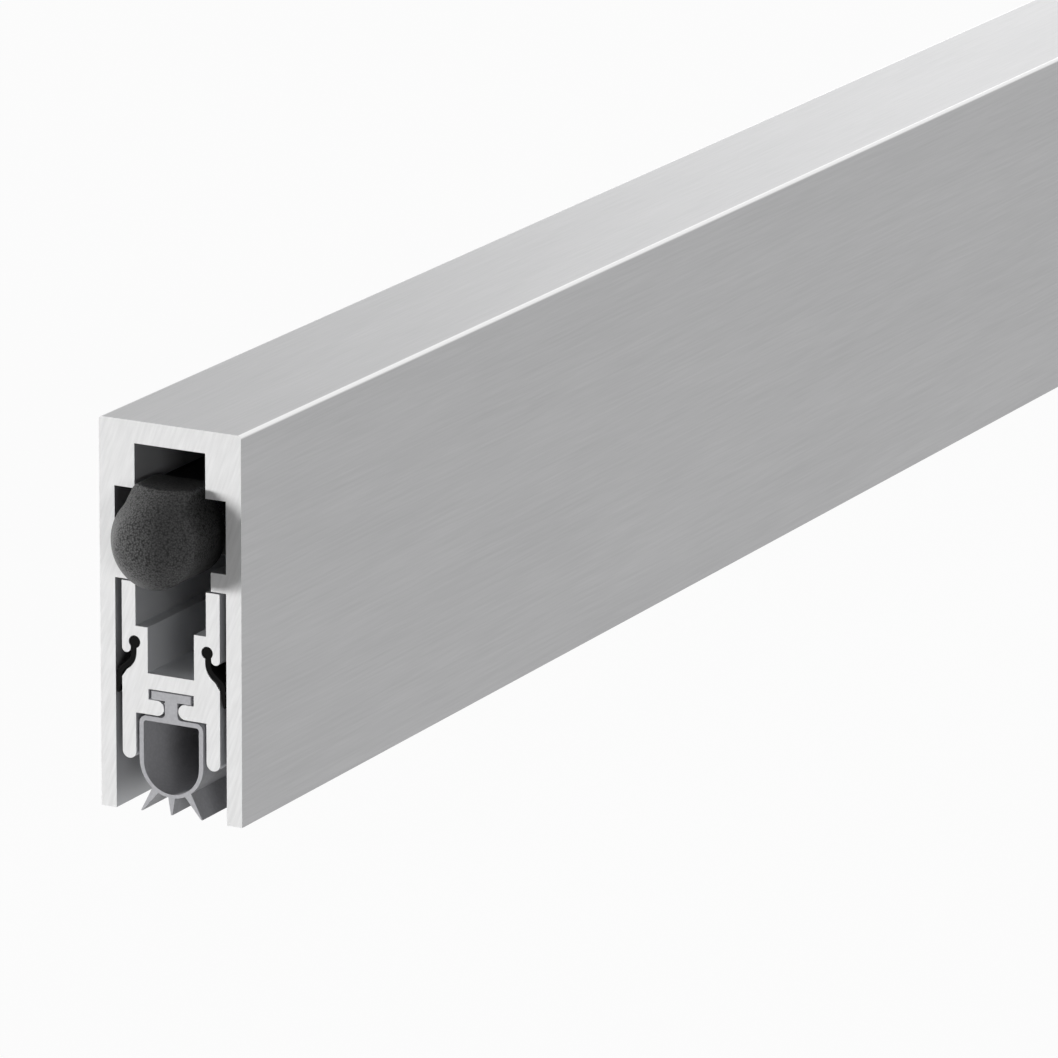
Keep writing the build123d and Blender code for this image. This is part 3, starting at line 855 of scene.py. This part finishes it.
@dataclass(frozen=True)
class ReturnSpring:
    """Coil spring between the front slide block and the anchor block.

    The wire's diameter is in millimetres. At each end, `closed_turns` of the turns are wound close.
    """

    wire: float = 0.7
    turns: float = 23.0
    closed_turns: float = 1.6
    steps_per_turn: int = 24
    wire_sides: int = 8

    def lengthwise(
        self, tree: bpy.types.NodeTree, given: bpy.types.NodeOutputs, turn: Feed
    ) -> bpy.types.Node:
        """How far along the spring a turn is: close wound at both ends, spread between them.

        Args:
            tree: node tree that gets the nodes.
            given: outputs of the tree's inputs.
            turn: number of turns up to the point.

        Returns:
            The distance from the spring's start.
        """
        radius = given["Wire Radius"]
        turns = given["Turns"]
        first = given["Closed Turns"]
        wire = add_node(tree, "ShaderNodeMath", {0: radius, 1: 2.0}, operation="MULTIPLY")
        closed = add_node(
            tree, "ShaderNodeMath", {0: turn, 1: wire, 2: radius}, operation="MULTIPLY_ADD"
        )
        solid = add_node(
            tree, "ShaderNodeMath", {0: turns, 1: wire, 2: wire}, operation="MULTIPLY_ADD"
        )
        spare = add_node(
            tree, "ShaderNodeMath", {0: given["Length"], 1: solid}, operation="SUBTRACT"
        )
        last = add_node(tree, "ShaderNodeMath", {0: turns, 1: first}, operation="SUBTRACT")
        limits = {"From Min": first, "From Max": last, "To Min": 0.0, "To Max": spare}
        spread = add_node(tree, "ShaderNodeMapRange", {"Value": turn, **limits})
        return add_node(tree, "ShaderNodeMath", {0: closed, 1: spread}, operation="ADD")

    def tree(self, material: bpy.types.Material) -> bpy.types.NodeTree:
        """Build the node tree of the coil.

        Args:
            material: finish of the wire.

        Returns:
            The geometry node tree, whose inputs are the coil's sizes in metres.
        """
        tree = new_tree(
            "coil_spring",
            Float=("Coil Radius", "Wire Radius", "Length", "Turns", "Closed Turns"),
            Int=("Steps Per Turn", "Wire Sides"),
            Vector=("Start",),
        )
        given = add_node(tree, "NodeGroupInput").outputs
        turns = given["Turns"]
        steps = add_node(
            tree, "ShaderNodeMath", {0: turns, 1: given["Steps Per Turn"]}, operation="MULTIPLY"
        )
        straight = add_node(tree, "GeometryNodeCurvePrimitiveLine", {"End": (0.0, 1.0, 0.0)})
        line = add_node(
            tree, "GeometryNodeResampleCurve", {"Curve": straight, "Count": steps}, mode="COUNT"
        )
        along = add_node(tree, "GeometryNodeSplineParameter").outputs["Factor"]
        turn = add_node(tree, "ShaderNodeMath", {0: along, 1: turns}, operation="MULTIPLY")
        angle = add_node(tree, "ShaderNodeMath", {0: turn, 1: math.tau}, operation="MULTIPLY")
        place = {"Y": self.lengthwise(tree, given, turn)}
        for axis, kind in (("X", "COSINE"), ("Z", "SINE")):
            share = add_node(tree, "ShaderNodeMath", {0: angle}, operation=kind)
            place[axis] = add_node(
                tree, "ShaderNodeMath", {0: share, 1: given["Coil Radius"]}, operation="MULTIPLY"
            )
        point = add_node(tree, "ShaderNodeCombineXYZ", place)
        moved = add_node(
            tree, "ShaderNodeVectorMath", {0: point, 1: given["Start"]}, operation="ADD"
        )
        helix = add_node(tree, "GeometryNodeSetPosition", {"Geometry": line, "Position": moved})
        profile = add_node(
            tree,
            "GeometryNodeCurvePrimitiveCircle",
            {"Resolution": given["Wire Sides"], "Radius": given["Wire Radius"]},
        )
        wire = add_node(
            tree,
            "GeometryNodeCurveToMesh",
            {"Curve": helix, "Profile Curve": profile, "Fill Caps": True},
        )
        return close_tree(tree, wire, material)

    def build(self, material: bpy.types.Material) -> bpy.types.Object:
        """Build the spring in place of its plain solid.

        Args:
            material: finish of the wire.

        Returns:
            The finished piece.
        """
        low, high = (Vector(corner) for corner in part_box("return_spring"))
        length = high.y - low.y
        wire_radius = self.wire * MM / 2
        sizes = {
            "Coil Radius": (high.x - low.x) / 2 - wire_radius,
            "Wire Radius": wire_radius,
            "Length": length,
            "Turns": self.turns,
            "Closed Turns": self.closed_turns,
            "Steps Per Turn": self.steps_per_turn,
            "Wire Sides": self.wire_sides,
            "Start": ((low.x + high.x) / 2, low.y, (low.z + high.z) / 2),
        }
        piece = new_piece("coil_spring", from_tree(self.tree(material), sizes))
        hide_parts("return_spring")
        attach(piece, Body.HOUSING.value)
        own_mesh(piece)
        return piece


@dataclass(frozen=True)
class PlungerNose:
    """Push nose: a keyhole-shaped bar with a ball-nosed cone in front and soft creases.

    A round lobe and a tongue above it make the keyhole, with rounded corners where they end and
    where they join. Sizes are in millimetres and angles in degrees.
    """

    tongue_half: float = 2.9
    dome_radius: float = 3.7
    dome_turn: float = 55.0
    dome_drop: float = 0.25
    crease: float = 0.12
    bore: float = 1.5
    bore_depth: float = 5.0
    corner_power: float = 18.0
    join_power: float = 40.0
    steps_round: int = 192
    dome_rings: int = 26
    crease_rings: int = 6
    sharp_from: float = 50.0

    def outline(self, turn: float, lobe: float, rise: float) -> float:
        """How far the keyhole's edge is from the lobe's centre.

        Args:
            turn: angle from straight up, in radians.
            lobe: radius of the lobe, in metres.
            rise: height of the tongue above the lobe's centre, in metres.

        Returns:
            The distance, in metres.
        """
        if math.cos(turn) <= 0:
            return lobe
        across = abs(math.sin(turn)) / (self.tongue_half * MM)
        up = math.cos(turn) / rise
        tongue = (across**self.corner_power + up**self.corner_power) ** (-1 / self.corner_power)
        share = (1 + (tongue / lobe) ** self.join_power) ** (1 / self.join_power)
        return lobe * share

    def dome(self, distance: float) -> float:
        """How far the front recedes: a ball in the middle and a cone round it.

        Args:
            distance: distance from the dome's axis, in metres.

        Returns:
            The distance back from the dome's tip, in metres.
        """
        radius = self.dome_radius * MM
        turn = math.radians(self.dome_turn)
        meet = radius * math.sin(turn)
        if distance < meet:
            return radius - math.sqrt(radius**2 - distance**2)
        return radius * (1 - math.cos(turn)) + (distance - meet) * math.tan(turn)

    def front(self, distance: float, turn: float, tip: float) -> float:
        """Place of the front face along the nose.

        Args:
            distance: distance from the lobe's centre, in metres.
            turn: angle from straight up, in radians.
            tip: place of the dome's tip along the nose, in metres.

        Returns:
            The place, in metres.
        """
        up = distance * math.cos(turn) + self.dome_drop * MM
        return tip + self.dome(math.hypot(distance * math.sin(turn), up))

    def profile(
        self, reach: float, low: Vector, high: Vector, turn: float
    ) -> list[tuple[float, float]]:
        """Line over the nose's skin, from the dome's middle to the end of the bore.

        Args:
            reach: distance of the keyhole's edge in this direction, in metres.
            low: lowest corner of the nose.
            high: highest corner of the nose.
            turn: angle from straight up, in radians.

        Returns:
            Distance from the lobe's centre and place along the nose of each point, without the
            two poles.
        """
        crease = self.crease * MM
        inner = reach - crease
        points = []
        for ring in range(1, self.dome_rings):
            distance = inner * ring / self.dome_rings
            points.append((distance, self.front(distance, turn, low.y)))
        corner = self.front(reach, turn, low.y)
        start = (inner, self.front(inner, turn, low.y))
        bend = (start, (reach, corner), (reach, corner + crease))
        for ring in range(self.crease_rings + 1):
            share = ring / self.crease_rings
            shares = ((1 - share) ** 2, 2 * share * (1 - share), share**2)
            distance = sum(part * point[0] for part, point in zip(shares, bend))
            place = sum(part * point[1] for part, point in zip(shares, bend))
            points.append((distance, place))
        back = high.y
        bore = self.bore * MM
        points += [(reach, back - crease / 2), (reach - crease / 2, back), (bore, back)]
        return points + [(bore, back - self.bore_depth * MM)]

    def build(self, material: bpy.types.Material) -> bpy.types.Object:
        """Build the nose in place of its plain solid.

        Args:
            material: finish of the nose.

        Returns:
            The finished piece.
        """
        low, high = (Vector(corner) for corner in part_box("plunger_nose"))
        lobe = (high.x - low.x) / 2
        centre = low.z + lobe
        shape = bmesh.new()
        rows = []
        for step in range(self.steps_round):
            turn = math.tau * step / self.steps_round
            reach = self.outline(turn, lobe, high.z - centre)
            row = []
            for distance, along in self.profile(reach, low, high, turn):
                place = (distance * math.sin(turn), along, centre + distance * math.cos(turn))
                row.append(shape.verts.new(place))
            rows.append(row)
        tip = shape.verts.new((0.0, low.y + self.dome(self.dome_drop * MM), centre))
        end = shape.verts.new((0.0, rows[0][-1].co.y, centre))
        for row, following in zip(rows, rows[1:] + rows[:1]):
            shape.faces.new((tip, row[0], following[0]))
            for place in range(len(row) - 1):
                corners = (row[place], row[place + 1], following[place + 1], following[place])
                shape.faces.new(corners)
            shape.faces.new((row[-1], end, following[-1]))
        bmesh.ops.recalc_face_normals(shape, faces=shape.faces)
        mesh = bpy.data.meshes.new("push_nose")
        shape.to_mesh(mesh)
        shape.free()
        mesh.polygons.foreach_set("use_smooth", [True] * len(mesh.polygons))
        mesh.set_sharp_from_angle(angle=math.radians(self.sharp_from))
        mesh.materials.append(material)
        piece = new_piece("push_nose", mesh)
        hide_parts("plunger_nose")
        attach(piece, Body.PLUNGER.value)
        return piece


@dataclass(frozen=True)
class Camera:
    """Camera at the photograph's place, with a long lens.

    Places are in metres, angles in degrees, and the lens and its sensor in millimetres.
    """

    location: tuple[float, float, float] = (0.35581, -0.78218, 0.19032)
    azimuth: float = 27.5812
    elevation: float = 15.6884
    roll: float = 0.3393
    lens: float = 292.53
    sensor: float = 36.0
    nearest: float = 0.01
    farthest: float = 20.0

    def build(self) -> None:
        """Add the camera and make it the scene's camera."""
        data = bpy.data.cameras.new("camera")
        data.lens = self.lens
        data.sensor_width = self.sensor
        data.clip_start = self.nearest
        data.clip_end = self.farthest
        camera = bpy.data.objects.new("camera", data)
        bpy.context.collection.objects.link(camera)
        bpy.context.scene.camera = camera
        turn = math.radians(self.azimuth)
        drop = math.radians(self.elevation)
        roll = math.radians(self.roll)
        forward = math.cos(drop)
        ahead = Vector((-math.sin(turn) * forward, math.cos(turn) * forward, -math.sin(drop)))
        level = Vector((math.cos(turn), math.sin(turn), 0.0))
        upright = level.cross(ahead)
        right = level * math.cos(roll) + upright * math.sin(roll)
        top = upright * math.cos(roll) - level * math.sin(roll)
        view = Matrix((right, top, -ahead)).transposed().to_4x4()
        camera.matrix_world = Matrix.Translation(self.location) @ view


@dataclass(frozen=True)
class Lamp:
    """Soft lamp that points at the object, in metres.

    Its level is how much it adds to a white face turned to it, where 1 is white. Shiny faces show
    its reflection only where it is mirrored.
    """

    name: str
    place: tuple[float, float, float]
    width: float
    height: float
    level: float
    mirrored: bool = False

    def build(self) -> None:
        """Add the lamp."""
        place = Vector(self.place)
        data = bpy.data.lights.new(self.name, "AREA")
        data.shape = "RECTANGLE"
        data.size = self.width
        data.size_y = self.height
        data.energy = math.pi**2 * place.length_squared * self.level
        lamp = bpy.data.objects.new(self.name, data)
        bpy.context.collection.objects.link(lamp)
        aim = place.to_track_quat("Z", "Y").to_matrix().to_4x4()
        lamp.matrix_world = Matrix.Translation(place) @ aim
        lamp.visible_camera = False
        lamp.visible_glossy = self.mirrored


@dataclass(frozen=True)
class Studio:
    """White floor, white surroundings and soft lamps, the strongest low on the left.

    The floor is `floor_drop` millimetres below the housing's top, just under the lowered seal, and
    `floor_side` metres wide. Where it is seen, the lamps light only `shadow_share` of its white.
    """

    floor_drop: float = 45.3
    floor_side: float = 6.0
    surround: float = 0.05
    shadow_share: float = 0.04
    white: str = "#FFFFFF"
    lamps: tuple[Lamp, ...] = (
        Lamp("key_lamp", (-1.5, -1.1, 0.04), width=0.6, height=0.26, level=1.5),
        Lamp("fill_lamp", (1.3, -1.3, 0.15), width=0.6, height=0.3, level=0.14),
        Lamp("back_lamp", (-0.49, 1.34, 0.225), width=0.5, height=0.5, level=0.063, mirrored=True),
        Lamp("rear_lamp", (0.9, 1.5, 0.15), width=0.5, height=0.3, level=0.6),
    )

    def background_rays(self, tree: bpy.types.NodeTree) -> Feed:
        """Rays that see the white background: from the camera, or reflected or let through.

        Args:
            tree: node tree that gets the nodes.

        Returns:
            A socket or node whose value is 1 for such a ray.
        """
        ray = add_node(tree, "ShaderNodeLightPath").outputs
        seen: Feed = ray["Is Camera Ray"]
        for kind in ("Is Glossy Ray", "Is Transmission Ray"):
            seen = add_node(tree, "ShaderNodeMath", {0: seen, 1: ray[kind]}, operation="MAXIMUM")
        return seen

    def floor_material(self) -> bpy.types.Material:
        """Build the floor's material: white with a light shadow, and clear from below.

        Returns:
            The floor's material.
        """
        material = new_material("white_floor")
        tree = material.node_tree
        seen = self.background_rays(tree)
        share = add_node(
            tree, "ShaderNodeMath", {0: seen, 1: 1 - self.shadow_share}, operation="MULTIPLY"
        )
        paper = add_node(tree, "ShaderNodeBsdfDiffuse", {"Color": self.white})
        glow = add_node(tree, "ShaderNodeEmission", {"Color": self.white, "Strength": 1.0})
        above = add_node(tree, "ShaderNodeMixShader", {"Fac": share, 1: paper, 2: glow})
        underside = add_node(tree, "ShaderNodeNewGeometry").outputs["Backfacing"]
        clear = add_node(tree, "ShaderNodeBsdfTransparent")
        both = add_node(tree, "ShaderNodeMixShader", {"Fac": underside, 1: above, 2: clear})
        add_node(tree, "ShaderNodeOutputMaterial", {"Surface": both})
        return material

    def surroundings(self) -> None:
        """Set the surroundings, which are white where they are seen."""
        world = bpy.data.worlds.new("white_surroundings")
        world.use_nodes = True
        tree = world.node_tree
        tree.nodes.clear()
        seen = self.background_rays(tree)
        dim = add_node(
            tree, "ShaderNodeBackground", {"Color": self.white, "Strength": self.surround}
        )
        bright = add_node(tree, "ShaderNodeBackground", {"Color": self.white, "Strength": 1.0})
        both = add_node(tree, "ShaderNodeMixShader", {"Fac": seen, 1: dim, 2: bright})
        add_node(tree, "ShaderNodeOutputWorld", {"Surface": both})
        bpy.context.scene.world = world

    def build(self) -> None:
        """Build the floor, the surroundings and the lamps."""
        half = self.floor_side / 2
        height = -self.floor_drop * MM
        sides = ((-half, -half), (half, -half), (half, half), (-half, half))
        mesh = bpy.data.meshes.new("floor")
        mesh.from_pydata([(x, y, height) for x, y in sides], [], [(0, 1, 2, 3)])
        mesh.materials.append(self.floor_material())
        floor = new_piece("floor", mesh)
        self.surroundings()
        for lamp in self.lamps:
            lamp.build()


@dataclass(frozen=True)
class NodeDress:
    """A finish and the carried-over nodes that wear it."""

    finish: Finish
    nodes: tuple[str, ...]

    def build(self) -> bpy.types.Material:
        """Put the finish on each node.

        Returns:
            The finish's material.
        """
        material = self.finish.build()
        for name in self.nodes:
            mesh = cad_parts[name].data
            mesh.materials.clear()
            mesh.materials.append(material)
            log.info("%s wears %s", name, material.name)
        return material


def main() -> None:
    """Build the camera, the finishes, the pieces and the studio."""
    logging.basicConfig(level=logging.INFO, format="%(message)s")
    Camera().build()
    for dress in (
        NodeDress(HOUSING_METAL, ("housing_profile",)),
        NodeDress(CARRIER_METAL, ("carrier_profile",)),
        NodeDress(BLOCK_NYLON, ("plunger_body", "slide_block_front", "slide_block_rear")),
        NodeDress(LIP_RUBBER, ("lip_seal_left", "lip_seal_right")),
        NodeDress(SILICONE, ("bottom_seal",)),
        NodeDress(CAST_ZINC, ("anchor_block", "foot_front", "foot_rear", "guide_foot")),
        NodeDress(PLATED_BAR, ("push_rod", "link_front", "link_rear")),
    ):
        dress.build()
    turned_parts = (
        "adjusting_stud",
        "lock_nut",
        "pivot_pin_front",
        "pivot_pin_rear",
        "foot_pin_front",
        "foot_pin_rear",
        "guide_pin",
        "spring_guide",
    )
    plating = NodeDress(PLATED_SMALL, turned_parts).build()
    pieces = [PlungerNose().build(BLACK_NYLON.build()), ReturnSpring().build(SPRING_WIRE.build())]
    for fasteners in (
        Fasteners("domed_rivets", "rod_rivets", Body.PLUNGER, "small_steel", RIVET_RINGS),
        Fasteners("grub_screws", "anchor_screws", Body.HOUSING, "small_steel", GRUB_RINGS),
        Fasteners("pan_head_screws", "foot_screws", Body.CARRIER, "small_steel", FOOT_SCREW_RINGS),
    ):
        pieces.append(fasteners.build(plating))
    for piece in pieces:
        log.info("%s built with %d faces", piece.name, len(piece.data.polygons))
    Studio().build()
    bpy.context.scene.view_settings.view_transform = "Standard"


if __name__ == "__main__":
    main()
